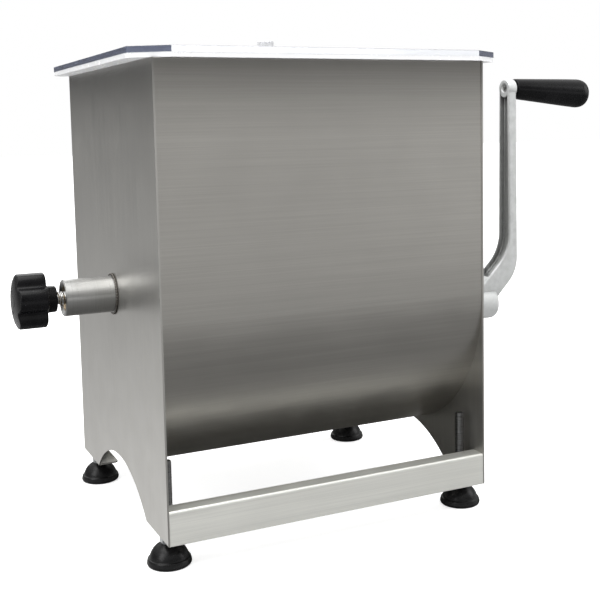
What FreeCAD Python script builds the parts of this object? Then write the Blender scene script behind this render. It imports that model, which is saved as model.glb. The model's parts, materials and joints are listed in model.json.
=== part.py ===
import FreeCAD, Part
import math
import os
from FreeCAD import Vector

os.makedirs("parts", exist_ok=True)

# Hand-crank meat mixer: a U-shaped stainless tank on four rubber feet, with a
# paddle that a geared hand crank turns and a star-knob screw pivot that holds
# the paddle's other end, and a clear lift-off lid.
# Millimetres. +X towards the crank, -X towards the star knob, +Y to the rear,
# +Z up. Everything is drawn about the centre of the four feet, and written
# with the origin at floor level under the middle of the overall length, knob
# to grip (X_ORIGIN further towards the crank).

# ---------------------------------------------------------------- dimensions
W = 300.0            # tank width over the end panels (X)
D = 285.0            # depth of the end panels (Y)
SHEET = 1.5          # stainless sheet
Z_TOP = 407.5        # top edge of the tank
Z_LEG = 25.0         # underside of the leg flanges
Z_PADDLE = 207.5     # height of the paddle axis
R_TROUGH = 141.8     # outer radius of the trough
Z_TROUGH = 200.0     # centre of the trough's half round
HEM = 10.0           # depth of the folded hem at the top
ARCH_HALF = 82.5     # half width of the cut-out between the legs
ARCH_TOP = 59.3      # top of that cut-out
FLANGE_X = 20.0      # foot flange, inward
RAIL_H = 28.4        # base rail height
RAIL_D = 15.0        # base rail top flange
FOOT_X = 141.1       # foot centres
FOOT_Y = 115.0
FOOT_TOP = 18.5      # top of the rubber, under the lower nut
STUD_R = 4.0         # M8 stud
STUD_TOP = 86.2
TUBE_R = 16.15       # left bearing tube
TUBE_IN = 12.5
TUBE_LEN = 44.8
SPINDLE_R = 6.0      # locking screw
NOSE_R = 8.0         # pivot plunger
RUN = 0.05           # running clearance on radius
LOCK_TRAVEL = 12.0   # how far the pivot draws back
KNOB_R = 24.0
KNOB_T = 27.5
MODULE = 1.5         # gear pair
Z_GEAR = 40
Z_PINION = 20
BACKLASH = 0.10      # flank thinning, each gear
AXIS_GAP = MODULE * (Z_GEAR + Z_PINION) / 2.0     # 45 mm
Z_CRANK = Z_PADDLE - AXIS_GAP                      # height of the crank axis
SHAFT_R = 9.0        # paddle and output shaft
CSHAFT_R = 8.0       # crank shaft
HUB_X0, HUB_X1, HUB_R = 232.0, 259.5, 17.0
ARM_X0, ARM_X1 = 276.0, 286.0
Z_GRIP = 389.0       # height of the grip axis, crank up
BOSS_R = 9.5
GRIP_X0, GRIP_X1 = 288.0, 382.0
GRIP_CAP = 371.0     # joint between grip and end cap
GRIP_TILT = 3.5      # the grip axis droops this many degrees from the arm
GRIP_PX = 282.0      # where that axis crosses the middle of the arm boss
LID_XM = 3.5         # middle of the lid
LID_X, LID_Y = 169.0, 147.5
LID_CX, LID_CY = 30.0, 20.0
LID_REAR = 8.0
LID_T, RIM_T = 5.0, 3.8
LID_KNOB_TOP = 433.5
X_END0 = -238.0      # outer face of the star knob
# outline of the end cap, from its joint to its end
CAP = [(GRIP_CAP, 0), (GRIP_CAP, 15.3)]
for _i in range(1, 18):
    _a = math.radians(5 * _i)
    CAP.append((GRIP_CAP + (GRIP_X1 - GRIP_CAP) * math.sin(_a), 15.3 * (math.cos(_a) ** 0.42)))
CAP.append((GRIP_X1, 0))
_t = math.radians(GRIP_TILT)
X_END1 = max(GRIP_PX + (x - GRIP_PX) * math.cos(_t) + r * math.sin(_t) for x, r in CAP)
X_ORIGIN = (X_END0 + X_END1) / 2.0   # from the centre of the feet

X0, X1 = -W / 2, W / 2
Y0, Y1 = -D / 2, D / 2
ZA, ZC, ZT = Z_PADDLE, Z_CRANK, Z_TROUGH
V = Vector


# ------------------------------------------------------------------- helpers
def out(name, shape):
    if isinstance(shape, (list, tuple)):
        shape = Part.makeCompound(list(shape))
    assert shape.isValid(), name
    shape = shape.copy()
    shape.translate(Vector(-X_ORIGIN, 0, 0))
    shape.exportStep("parts/%s.step" % name)
    n = len(shape.Solids)
    print("%-24s solids %d volume %.1f" % (name, n, shape.Volume))
    assert n >= 1 and shape.Volume > 0, name


def box(xa, xb, ya, yb, za, zb):
    return Part.makeBox(xb - xa, yb - ya, zb - za, V(xa, ya, za))


def cx(r, xa, xb, y=0.0, z=ZA):
    return Part.makeCylinder(r, xb - xa, V(xa, y, z), V(1, 0, 0))


def cz(r, za, zb, x=0.0, y=0.0):
    return Part.makeCylinder(r, zb - za, V(x, y, za), V(0, 0, 1))


def ring_x(ro, ri, xa, xb, y=0.0, z=ZA):
    return cx(ro, xa, xb, y, z).cut(cx(ri, xa - 1, xb + 1, y, z))


def poly_face(pts):
    pts = [V(*p) for p in pts]
    return Part.Face(Part.makePolygon(pts + [pts[0]]))


def rev_x(prof, y=0.0, z=ZA):
    """Solid of revolution about an X axis through (y, z); prof = [(x, r)]."""
    f = poly_face([(x, y, z + r) for x, r in prof])
    s = f.revolve(V(0, y, z), V(1, 0, 0), 360)
    return s if s.ShapeType == "Solid" else s.Solids[0]


def rev_z(prof, x=0.0, y=0.0):
    f = poly_face([(x + r, y, z) for r, z in prof])
    s = f.revolve(V(x, y, 0), V(0, 0, 1), 360)
    return s if s.ShapeType == "Solid" else s.Solids[0]


def arc(a, m, b):
    return Part.Arc(V(*a), V(*m), V(*b)).toShape()


def seg(a, b):
    return Part.LineSegment(V(*a), V(*b)).toShape()


def prism(edges, direction):
    return Part.Face(Part.Wire(edges)).extrude(V(*direction))


def hex_x(af, xa, xb, y, z):
    r = af / math.sqrt(3.0)
    pts = [(xa, y + r * math.cos(math.radians(60 * i + 30)),
            z + r * math.sin(math.radians(60 * i + 30))) for i in range(6)]
    return poly_face(pts).extrude(V(xb - xa, 0, 0))


def hex_z(af, za, zb, x, y):
    r = af / math.sqrt(3.0)
    pts = [(x + r * math.cos(math.radians(60 * i + 30)),
            y + r * math.sin(math.radians(60 * i + 30)), za) for i in range(6)]
    return poly_face(pts).extrude(V(0, 0, zb - za))


def fillet(shape, radius, pick):
    """Round the edges that pick() chooses; keep the sharp shape if it fails."""
    edges = [e for e in shape.Edges if pick(e)]
    if not edges:
        return shape
    try:
        s = shape.makeFillet(radius, edges)
        if s.isValid() and s.Volume > 0:
            return s
    except Exception:
        pass
    print("  fillet skipped", radius, len(edges))
    return shape


def chamfer(shape, size, pick):
    edges = [e for e in shape.Edges if pick(e)]
    if not edges:
        return shape
    try:
        s = shape.makeChamfer(size, edges)
        if s.isValid() and s.Volume > 0:
            return s
    except Exception:
        pass
    print("  chamfer skipped", size, len(edges))
    return shape


def hull2(xa, xb, ra, rb):
    """Prism along X: outer hull of a circle ra on the paddle axis and rb on
    the crank axis below it."""
    nz = -(ra - rb) / AXIS_GAP
    ny = math.sqrt(1 - nz * nz)
    pa = (xa, ra * ny, ZA + ra * nz)
    pb = (xa, rb * ny, ZC + rb * nz)
    ma = (xa, -ra * ny, ZA + ra * nz)
    mb = (xa, -rb * ny, ZC + rb * nz)
    e = [arc(pa, (xa, 0, ZA + ra), ma), seg(ma, mb),
         arc(mb, (xa, 0, ZC - rb), pb), seg(pb, pa)]
    return prism(e, (xb - xa, 0, 0))


# ------------------------------------------------------------------ the tank
# Trough wrapper: front wall, half-round bottom and rear wall in one sheet,
# with a hem folded inwards along the top.
ro, ri, rh = R_TROUGH, R_TROUGH - SHEET, R_TROUGH - 2 * SHEET
xw = X0 + SHEET
edges = [
    seg((xw, -ro, Z_TOP), (xw, -ro, ZT)),
    arc((xw, -ro, ZT), (xw, 0, ZT - ro), (xw, ro, ZT)),
    seg((xw, ro, ZT), (xw, ro, Z_TOP)),
    seg((xw, ro, Z_TOP), (xw, rh, Z_TOP)),
    seg((xw, rh, Z_TOP), (xw, rh, Z_TOP - HEM)),
    seg((xw, rh, Z_TOP - HEM), (xw, ri, Z_TOP - HEM)),
    seg((xw, ri, Z_TOP - HEM), (xw, ri, ZT)),
    arc((xw, ri, ZT), (xw, 0, ZT - ri), (xw, -ri, ZT)),
    seg((xw, -ri, ZT), (xw, -ri, Z_TOP - HEM)),
    seg((xw, -ri, Z_TOP - HEM), (xw, -rh, Z_TOP - HEM)),
    seg((xw, -rh, Z_TOP - HEM), (xw, -rh, Z_TOP)),
    seg((xw, -rh, Z_TOP), (xw, -ro, Z_TOP)),
]
wrapper = prism(edges, (W - 2 * SHEET, 0, 0))
wrapper = fillet(wrapper, 1.1, lambda e: abs(e.BoundBox.ZMin - Z_TOP) < 0.01
                 and e.BoundBox.XLength > 100)
out("trough_wrapper", wrapper)

# Housing screw positions (Y, Z) on the right end panel.
SCREWS = [(s * 37.2, ZA + 17.3) for s in (-1, 1)] + \
         [(s * 26.6, ZC - 3.5) for s in (-1, 1)]


def end_panel(side):
    """Flat end panel with two legs, an arch between them, inward foot flanges
    and an inward hem at the top; side is -1 (left) or +1 (right)."""
    xo = X0 if side < 0 else X1            # outer face
    xi = xo - side * SHEET                 # inner face
    xa = min(xo, xi)
    e = [seg((xa, Y0, Z_LEG), (xa, -ARCH_HALF, Z_LEG)),
         arc((xa, -ARCH_HALF, Z_LEG), (xa, 0, ARCH_TOP), (xa, ARCH_HALF, Z_LEG)),
         seg((xa, ARCH_HALF, Z_LEG), (xa, Y1, Z_LEG)),
         seg((xa, Y1, Z_LEG), (xa, Y1, Z_TOP)),
         seg((xa, Y1, Z_TOP), (xa, Y0, Z_TOP)),
         seg((xa, Y0, Z_TOP), (xa, Y0, Z_LEG))]
    p = prism(e, (SHEET, 0, 0))
    # hem folded inwards along the top
    p = p.fuse(box(min(xi, xi - side * SHEET), max(xi, xi - side * SHEET),
                   -rh + 0.5, rh - 0.5, Z_TOP - HEM, Z_TOP))
    # foot flanges folded inwards at the bottom of the legs
    for s in (-1, 1):
        ya, yb = sorted((s * (D / 2 - 1.7), s * ARCH_HALF))
        f = box(min(xo, xo - side * FLANGE_X), max(xo, xo - side * FLANGE_X),
                ya, yb, Z_LEG, Z_LEG + SHEET)
        f = fillet(f, 4.0, lambda ed: ed.BoundBox.ZLength > 1 and
                   abs(ed.BoundBox.XMin - (xo - side * FLANGE_X)) < 0.01)
        p = p.fuse(f)
        p = p.cut(cz(STUD_R + 0.5, Z_LEG - 2, Z_LEG + 5, side * FOOT_X, s * FOOT_Y))
    p = p.removeSplitter()
    p = fillet(p, 1.2, lambda ed: abs(ed.BoundBox.ZMax - Z_LEG) < 0.01 and
               abs(ed.BoundBox.XMin - xo) < 0.01 and abs(ed.BoundBox.XMax - xo) < 0.01
               and ed.BoundBox.YLength > 30)
    return p


left_panel = end_panel(-1).cut(cx(TUBE_R, X0 - 5, X0 + 5))
out("left_end_panel", left_panel)
right_panel = end_panel(1).cut(cx(14.0, X1 - 5, X1 + 5))
for y, z in SCREWS:
    right_panel = right_panel.cut(cx(2.75, X1 - 5, X1 + 5, y, z))
out("right_end_panel", right_panel)


def base_rail(s):
    """Angle rail between the legs; s = -1 front, +1 rear."""
    xa, xb = X0 + SHEET, X1 - SHEET
    yo = s * D / 2
    pts = [(xa, yo, Z_LEG), (xa, yo, Z_LEG + RAIL_H),
           (xa, yo - s * RAIL_D, Z_LEG + RAIL_H),
           (xa, yo - s * RAIL_D, Z_LEG + RAIL_H - SHEET),
           (xa, yo - s * SHEET, Z_LEG + RAIL_H - SHEET),
           (xa, yo - s * SHEET, Z_LEG)]
    r = poly_face(pts).extrude(V(xb - xa, 0, 0))
    r = fillet(r, 2.2, lambda e: e.BoundBox.XLength > 100 and
               abs(e.BoundBox.ZMin - (Z_LEG + RAIL_H)) < 0.01 and
               abs(e.BoundBox.YMin - yo) < 0.01)
    r = fillet(r, 0.7, lambda e: e.BoundBox.XLength > 100 and
               abs(e.BoundBox.ZMax - (Z_LEG + RAIL_H - SHEET)) < 0.01 and
               abs(e.BoundBox.YMin - (yo - s * SHEET)) < 0.01)
    return r


out("front_rail", base_rail(-1))
out("rear_rail", base_rail(1))

# ----------------------------------------------------------------- the feet
# Domed rubber foot, moulded round the bottom of its stud; profile (r, z).
foot_prof = [(0, 0), (17.6, 0), (18.3, 0.6), (18.5, 1.6), (18.35, 3.2), (17.8, 5.2),
             (17.0, 7.0), (15.9, 8.9), (14.6, 10.8), (13.2, 12.6), (11.6, 14.3),
             (10.0, 15.8), (8.6, 17.0), (7.4, 17.9), (6.5, 18.35), (5.8, FOOT_TOP),
             (STUD_R, FOOT_TOP), (STUD_R, 6.0), (0, 6.0)]


def hex_nut(zn, h, x, y):
    """M8 nut, 13 across flats, corners broken top and bottom."""
    cone = rev_z([(0, zn), (7.1, zn), (7.6, zn + 0.6), (7.6, zn + h - 0.6),
                  (7.1, zn + h), (0, zn + h)], x, y)
    return hex_z(13.0, zn, zn + h, x, y).common(cone).cut(cz(STUD_R, zn - 1, zn + h + 1, x, y))


studs, nuts, washers = [], [], []
for nx, sx in (("left", -1), ("right", 1)):
    for ny, sy in (("front", -1), ("rear", 1)):
        fx, fy = sx * FOOT_X, sy * FOOT_Y
        out("%s_%s_foot" % (ny, nx), rev_z(foot_prof, fx, fy))
        st = rev_z([(0, 6.0), (STUD_R, 6.0), (STUD_R, STUD_TOP - 1.0),
                    (STUD_R - 0.9, STUD_TOP), (0, STUD_TOP)], fx, fy)
        studs.append(st)
        zf = Z_LEG + SHEET
        washers.append(cz(7.2, zf, zf + 1.6, fx, fy).cut(cz(STUD_R + 0.2, zf - 1, zf + 3, fx, fy)))
        # a nut under the leg flange and one on the washer above it
        nuts.append(hex_nut(FOOT_TOP, Z_LEG - FOOT_TOP, fx, fy))
        nuts.append(hex_nut(zf + 1.6, 6.5, fx, fy))
out("foot_studs", studs)
out("foot_nuts", nuts)
out("foot_washers", washers)

# ---------------------------------------- left pivot: tube, screw, star knob
xt = X0 - TUBE_LEN
tube = rev_x([(xt + 0.6, TUBE_R), (xt, TUBE_R - 0.6), (xt, TUBE_IN + 1.6),
              (xt + 2.2, TUBE_IN), (X0 + 3.5, TUBE_IN), (X0 + 3.5, TUBE_R),
              (X0, TUBE_R), (X0, 17.5), (X0 - 0.9, 17.5), (X0 - 1.7, 16.9),
              (X0 - 1.8, TUBE_R)])
out("left_bearing_tube", tube)

lock_bush = ring_x(TUBE_IN, SPINDLE_R + RUN, xt + 4.3, X0 - 22.3)
lock_bush = chamfer(lock_bush, 0.8, lambda e: abs(e.BoundBox.XMin - (xt + 4.3)) < 0.01
                    and e.BoundBox.XLength < 0.01)
out("lock_bush", lock_bush)
# the guide bush holds the O-ring that seals the plunger
og0, og1 = X0 - 1.2, X0 + 1.2
out("pivot_guide_bush", ring_x(TUBE_IN, NOSE_R + RUN, X0 - 18.0, X0 + 3.5)
    .cut(ring_x(NOSE_R + 2.0, NOSE_R - 1.0, og0, og1)))
out("plunger_o_ring", ring_x(NOSE_R + 1.9, NOSE_R + RUN, og0 + 0.1, og1 - 0.1))

# Pivot plunger: slides in the guide bush, its nose carries the paddle.
xp0, xp1 = X0 - 10.0, X0 + 23.5
plunger = rev_x([(xp0, 0), (xp0, NOSE_R - 0.6), (xp0 + 0.6, NOSE_R), (xp1 - 2.0, NOSE_R),
                 (xp1, NOSE_R - 2.0), (xp1, 0)])
plunger = plunger.cut(cx(5.0 + RUN, xp0 - 1, xp0 + 10))
pin_x, pin_z = xp0 + 4.0, ZA + 4.7
pin = Part.makeCylinder(1.0, 10.0, V(pin_x, -5.0, pin_z), V(0, 1, 0))
plunger = plunger.cut(Part.makeCylinder(1.0, 20.0, V(pin_x, -10.0, pin_z), V(0, 1, 0)))
out("pivot_plunger", plunger)
out("plunger_pin", pin)

# Locking screw; its tip turns in the plunger and the cross pin holds it there.
gx0, gx1 = pin_x - 1.2, pin_x + 1.2
xs1 = xp0 + 9.6
spindle = rev_x([(xt - 27.2, 0), (xt - 27.2, SPINDLE_R), (xp0 - 0.3, SPINDLE_R),
                 (xp0 - 0.3, 5.0), (gx0, 5.0), (gx0, 3.55), (gx1, 3.55), (gx1, 5.0),
                 (xs1 - 0.6, 5.0), (xs1, 4.4), (xs1, 0)])
out("lock_spindle", spindle)

# Star knob: five rounded lobes, domed face, round hub, steel insert.
xk1 = xt - 6.1                    # hub face towards the tube
xk_hub = xk1 - 9.6                # back face of the head
xk0 = xk_hub - KNOB_T
pts = []
N = 100
for i in range(N):
    a = 2 * math.pi * i / N
    c = math.cos(5 * (a - math.radians(98)))
    # broad lobes, narrow valleys
    r = KNOB_R + 0.2 - 6.2 * ((1 - c) / 2.0) ** 2.6
    pts.append(V(xk0, r * math.cos(a), ZA + r * math.sin(a)))
bs = Part.BSplineCurve()
bs.interpolate(Points=pts, PeriodicFlag=True)
head = Part.Face(Part.Wire([bs.toShape()])).extrude(V(KNOB_T, 0, 0))
dome = [(xk0, 0)]
for i in range(1, 13):
    a = math.radians(7.5 * i)
    dome.append((xk0 + 6.5 * (1 - math.cos(a)), 24.6 * math.sin(a) ** 0.9 * 0.9 + 24.6 * 0.1 * math.sin(a)))
dome += [(xk_hub - 1.6, 24.6), (xk_hub - 0.4, 23.2), (xk_hub, 21.0), (xk_hub, 0)]
head = head.common(rev_x(dome))
hub = rev_x([(xk_hub - 1.0, 0), (xk_hub - 1.0, 11.9), (xk_hub, 11.8), (xk1 - 1.0, 11.4),
             (xk1, 10.4), (xk1, 0)])
knob = head.fuse(hub).removeSplitter()
xi0 = xt - 29.5
knob = knob.cut(cx(8.0, xi0, xk1 + 1))
out("star_knob", knob)
insert = rev_x([(xi0, 0), (xi0, 8.0), (xk1, 8.0), (xk1, SPINDLE_R), (xt - 27.2, SPINDLE_R),
                (xt - 27.2, 0)])
out("knob_insert", insert)

# ------------------------------------------------------- paddle and its shaft
xc0 = X0 + 12.0                    # face of the pivot cup
cup = rev_x([(xc0, NOSE_R + RUN), (xc0, 13.0), (xc0 + 1.0, 14.0), (xc0 + 26.0, 14.0),
             (xc0 + 26.0, SHAFT_R), (xc0 + 18.0, SHAFT_R), (xc0 + 18.0, 0),
             (xc0 + 14.0, 0), (xc0 + 14.0, NOSE_R + RUN)])
out("paddle_pivot_cup", cup)
xsh0, xsh1 = xc0 + 18.0, 118.0
pshaft = cx(SHAFT_R, xsh0, xsh1)
out("paddle_shaft", pshaft)

arms, blades = [], []
R_BLADE = 134.5
for i, (xa, ang) in enumerate(((-87, 0), (-29, 180), (29, 90), (87, 270))):
    twist = 25 if i % 2 == 0 else -25
    arm = box(xa - 11, xa + 11, -2.5, 2.5, 6.0, 118.0)
    bl = box(xa - 27, xa + 27, 2.5, 6.5, 96.0, R_BLADE)
    bl = fillet(bl, 9.0, lambda e: e.BoundBox.YLength > 3.9 and e.BoundBox.ZLength < 0.01)
    for s in (arm, bl):
        s.rotate(V(xa, 0, 0), V(0, 0, 1), twist)
        s.rotate(V(0, 0, 0), V(1, 0, 0), -ang)
        s.translate(V(0, 0, ZA))
    arms.append(arm.cut(cx(SHAFT_R, xa - 30, xa + 30)))
    blades.append(bl)
out("paddle_arms", arms)
out("paddle_blades", blades)

# Drive sleeve: round socket on the paddle shaft, square socket for the drive.
sq = 6.5
sleeve = rev_x([(104.0, 0), (104.0, 14.0), (105.0, 15.0), (140.0, 15.0), (141.0, 14.0), (141.0, 0)])
sleeve = sleeve.cut(cx(SHAFT_R, 103.0, 118.0)).cut(box(118.0, 142.0, -sq, sq, ZA - sq, ZA + sq))
out("drive_sleeve", sleeve)

KEY = 4.0
gx_0, gx_1 = 161.5, 173.5           # driven gear
oshaft = box(118.0, 141.0, -sq, sq, ZA - sq, ZA + sq)
oshaft = oshaft.fuse(rev_x([(141.0, 0), (141.0, SHAFT_R), (173.7, SHAFT_R), (173.7, 8.2),
                            (174.9, 8.2), (174.9, SHAFT_R), (175.6, SHAFT_R), (175.6, 7.0),
                            (184.0, 7.0), (184.6, 6.4), (184.6, 0)]))
key1 = box(gx_0, gx_1, -KEY / 2, KEY / 2, ZA + SHAFT_R - 2.3, ZA + SHAFT_R + 1.6)
oshaft = oshaft.cut(key1).removeSplitter()
out("output_shaft", oshaft)
out("driven_gear_key", key1)
out("shaft_v_ring", rev_x([(141.7, SHAFT_R), (141.7, 12.6), (143.6, 12.6), (144.4, 14.6),
                           (145.2, 14.6), (145.2, 13.6), (144.2, 11.4), (144.2, SHAFT_R)]))
out("gear_retaining_ring", ring_x(11.4, 8.2, 173.75, 174.85))


# ----------------------------------------------------------------- the gears
def gear(z, xa, xb, yc, zc, rbore, phase):
    """Involute spur gear, 20 degrees, thinned flanks; one tooth centred at
    the angle phase (from +Y towards +Z)."""
    pa = math.radians(20)
    rp = MODULE * z / 2.0
    rb = rp * math.cos(pa)
    ra = rp + MODULE * 0.96
    rf = rp - 1.25 * MODULE
    inv = lambda a: math.tan(a) - a
    half = math.pi / (2 * z) - BACKLASH / (2 * rp)     # half tooth angle at rp
    flank = []
    r_lo = max(rb, rf + 0.15)
    for k in range(6):
        r = r_lo + (ra - r_lo) * k / 5.0
        a = math.acos(min(1.0, rb / r))
        flank.append((r, half + inv(pa) - inv(a)))
    pts = []
    for t in range(z):
        c = phase + 2 * math.pi * t / z
        lo = flank[0][1]
        pts.append((rf, c - lo - 0.008))
        for r, h in flank:
            pts.append((r, c - h))
        for r, h in reversed(flank):
            pts.append((r, c + h))
        pts.append((rf, c + lo + 0.008))
    p3 = [(xa, yc + r * math.cos(a), zc + r * math.sin(a)) for r, a in pts]
    g = poly_face(p3).extrude(V(xb - xa, 0, 0))
    return g.cut(cx(rbore, xa - 1, xb + 1, yc, zc))


# A driven-gear tooth points straight down (-Z) at the mesh, so the pinion has
# a gap straight up.
dg = gear(Z_GEAR, gx_0, gx_1, 0.0, ZA, SHAFT_R, math.radians(-90))
dg = dg.cut(key1)
dg = dg.cut(ring_x(24.0, 14.0, gx_0 - 1, gx_0 + 2.5)).cut(ring_x(24.0, 14.0, gx_1 - 2.5, gx_1 + 1))
out("driven_gear", dg)
px_0, px_1 = 161.0, 174.5
pg = gear(Z_PINION, px_0, px_1, 0.0, ZC, CSHAFT_R, math.radians(90) + math.pi / Z_PINION)
key2 = box(px_0, px_1, -1.5, 1.5, ZC + CSHAFT_R - 1.8, ZC + CSHAFT_R + 1.3)
out("drive_pinion", pg.cut(key2))
out("drive_pinion_key", key2)

# --------------------------------------------------- gear housing and bearings
hx0, hx1, hx2 = 150.0, 178.0, 182.0
house = hull2(hx0, hx1, 38.0, 23.5)
cover = hull2(hx1, hx2, 38.0, 23.5)
for y, z in SCREWS:
    house = house.fuse(cx(7.0, hx0, hx1, y, z))
    cover = cover.fuse(cx(7.0, hx1, hx2, y, z))
house = house.removeSplitter().cut(hull2(hx0 + 5.0, hx1 + 1, 34.0, 19.5))
house = house.fuse(cx(18.0, hx0 + 4.0, hx0 + 10.0, 0, ZA)).fuse(cx(14.0, hx0 + 4.0, hx0 + 10.0, 0, ZC))
house = house.cut(cx(14.0, hx0 - 1, hx0 + 11, 0, ZA)).cut(cx(10.0, hx0 + 2.0, hx0 + 11, 0, ZC))
for y, z in SCREWS:
    house = house.cut(cx(2.75, hx0 - 1, hx1 + 1, y, z))
house = house.removeSplitter()
out("gear_housing", house)

cover = cover.removeSplitter()
cover = fillet(cover, 1.5, lambda e: abs(e.BoundBox.XMin - hx2) < 0.01)
cover = cover.fuse(cx(14.0, hx2 - 1, 187.0, 0, ZA)).fuse(cx(20.0, hx2 - 1, 188.0, 0, ZC)).removeSplitter()
cover = fillet(cover, 1.2, lambda e: e.BoundBox.XLength < 0.01 and
               (abs(e.BoundBox.XMin - 187.0) < 0.01 or abs(e.BoundBox.XMin - 188.0) < 0.01))
cover = cover.cut(cx(10.0, hx1 - 1, 185.0, 0, ZA)).cut(cx(16.0, hx1 - 1, 189.0, 0, ZC))
for y, z in SCREWS:
    cover = cover.cut(cx(2.75, hx1 - 1, hx2 + 1, y, z))
out("gear_cover", cover)

screws, capnuts = [], []
for y, z in SCREWS:
    s = rev_x([(143.6, 0), (143.6, 2.1), (144.0, 2.5), (hx2, 2.5), (hx2, 4.25),
               (186.4, 4.25), (187.0, 3.7), (187.0, 0)], y, z)
    s = s.cut(hex_x(4.0, 184.2, 188.0, y, z))
    screws.append(s)
    n = hex_x(8.0, 144.6, 148.5, y, z)
    dome_n = rev_x([(141.6, 0), (141.8, 1.4), (142.6, 2.7), (143.8, 3.5), (145.2, 3.9),
                    (145.2, 4.62), (148.1, 4.62), (148.5, 4.2), (148.5, 0)], y, z)
    cap = dome_n.common(n.fuse(cx(3.9, 141.0, 145.2, y, z)))
    capnuts.append(cap.cut(cx(2.5, 143.5, 149.0, y, z)))
out("housing_screws", screws)
out("housing_cap_nuts", capnuts)

out("output_bush", rev_x([(145.5, SHAFT_R + RUN), (145.5, 18.4), (146.0, 19.0), (148.5, 19.0),
                          (148.5, 14.0), (160.0, 14.0), (160.0, SHAFT_R + RUN)]))
out("output_end_bush", ring_x(10.0, 7.0 + RUN, 176.2, 185.0))
out("crank_inner_bush", ring_x(10.0, 7.0 + RUN, 152.0, 160.0, 0, ZC))
ctube = rev_x([(hx1, TUBE_IN), (hx1, 16.0), (228.4, 16.0), (229.0, 15.4), (229.0, TUBE_IN)], 0, ZC)
out("crank_bearing_tube", ctube)
out("crank_shaft_bushes", [ring_x(TUBE_IN, CSHAFT_R + RUN, 178.0, 194.0, 0, ZC),
                           ring_x(TUBE_IN, CSHAFT_R + RUN, 213.0, 229.0, 0, ZC)])

# ------------------------------------------------------------------ the crank
cshaft = rev_x([(152.6, 0), (152.6, 6.5), (153.1, 7.0), (160.6, 7.0), (160.6, CSHAFT_R),
                (174.65, CSHAFT_R), (174.65, 7.2), (175.85, 7.2), (175.85, CSHAFT_R),
                (257.2, CSHAFT_R), (258.0, 7.2), (258.0, 0)], 0, ZC)
out("crank_shaft", cshaft.cut(key2))
out("pinion_retaining_ring", ring_x(10.4, 7.2, 174.7, 175.8, 0, ZC))
out("crank_thrust_washer", ring_x(14.0, CSHAFT_R, 229.4, 231.9, 0, ZC))

# Arm: cast channel section that leaves the hub at 45 degrees, bends upright
# and ends in a round boss. The channel opens towards the tank.
s45 = math.sin(math.radians(45))
Ro, Ri = 37.5, 45.0
zo_c, zi_c = 210.5, 236.0
co = (ARM_X1 - Ro, zo_c)             # centre of the outer bend
ci = (ARM_X0 - Ri, zi_c)             # centre of the inner bend


def p2(x, z, y=-20.0):
    return (x, y, z)


def bend(c, r, a0, a1):
    am = math.radians((a0 + a1) / 2)
    a0, a1 = math.radians(a0), math.radians(a1)
    f = lambda a: p2(c[0] + r * math.cos(a), c[1] + r * math.sin(a))
    return f(a0), f(am), f(a1)


o0, om, o1 = bend(co, Ro, -45, 0)
i0, im, i1 = bend(ci, Ri, 0, -45)
hub_in = p2(238.0, i1[2] - (i1[0] - 238.0))
hub_out = p2(258.6, o0[2] - (o0[0] - 258.6))
e = [seg(hub_in, p2(238.0, ZC)), seg(p2(238.0, ZC), p2(258.6, ZC)), seg(p2(258.6, ZC), hub_out),
     seg(hub_out, o0), arc(o0, om, o1), seg(o1, p2(ARM_X1, Z_GRIP)),
     seg(p2(ARM_X1, Z_GRIP), p2(ARM_X0, Z_GRIP)), seg(p2(ARM_X0, Z_GRIP), i0),
     arc(i0, im, i1), seg(i1, hub_in)]
arm = prism(e, (0, 40, 0))


def taper(wb, wt):
    """Wedge seen along X: half width wb at the hub, wt at the boss."""
    return poly_face([(200, -wb, 150), (200, wb, 150), (200, wt, 395), (200, -wt, 395)]
                     ).extrude(V(120, 0, 0))


arm = arm.common(taper(11.4, 8.6))
arm = fillet(arm, 1.6, lambda e: e.BoundBox.ZMin > ZC + 1 and e.BoundBox.YLength < 3.0)
RIB, DEPTH = 2.6, 5.6
c0, cm, c1 = bend(ci, Ri + DEPTH, 0, -45)
q1 = p2(c1[0] - 12.0, c1[2] - 12.0)
q2 = p2(q1[0] - 12.0, q1[2] + 6.0)
e = [seg(p2(ARM_X0 + DEPTH, Z_GRIP), c0), arc(c0, cm, c1), seg(c1, q1), seg(q1, q2),
     seg(q2, p2(236.0, 260.0)), seg(p2(236.0, 260.0), p2(260.0, Z_GRIP)),
     seg(p2(260.0, Z_GRIP), p2(ARM_X0 + DEPTH, Z_GRIP))]
channel = prism(e, (0, 40, 0)).common(taper(11.4 - RIB, 8.6 - RIB))
channel = fillet(channel, 1.2, lambda e: e.BoundBox.XMin > 240 and e.BoundBox.YLength < 3.0
                 and e.Length > 15)
arm = arm.cut(channel)
hubc = rev_x([(HUB_X0, 0), (HUB_X0, 15.8), (HUB_X0 + 1.2, HUB_R), (HUB_X1 - 4.0, HUB_R),
              (HUB_X1 - 1.4, 15.6), (HUB_X1, 13.0), (HUB_X1, 0)], 0, ZC)


def tilt(s):
    """Turn a shape drawn about a level grip axis to the drooping one."""
    s = s.copy()
    s.rotate(V(GRIP_PX, 0, Z_GRIP), V(0, 1, 0), GRIP_TILT)
    return s


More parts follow.
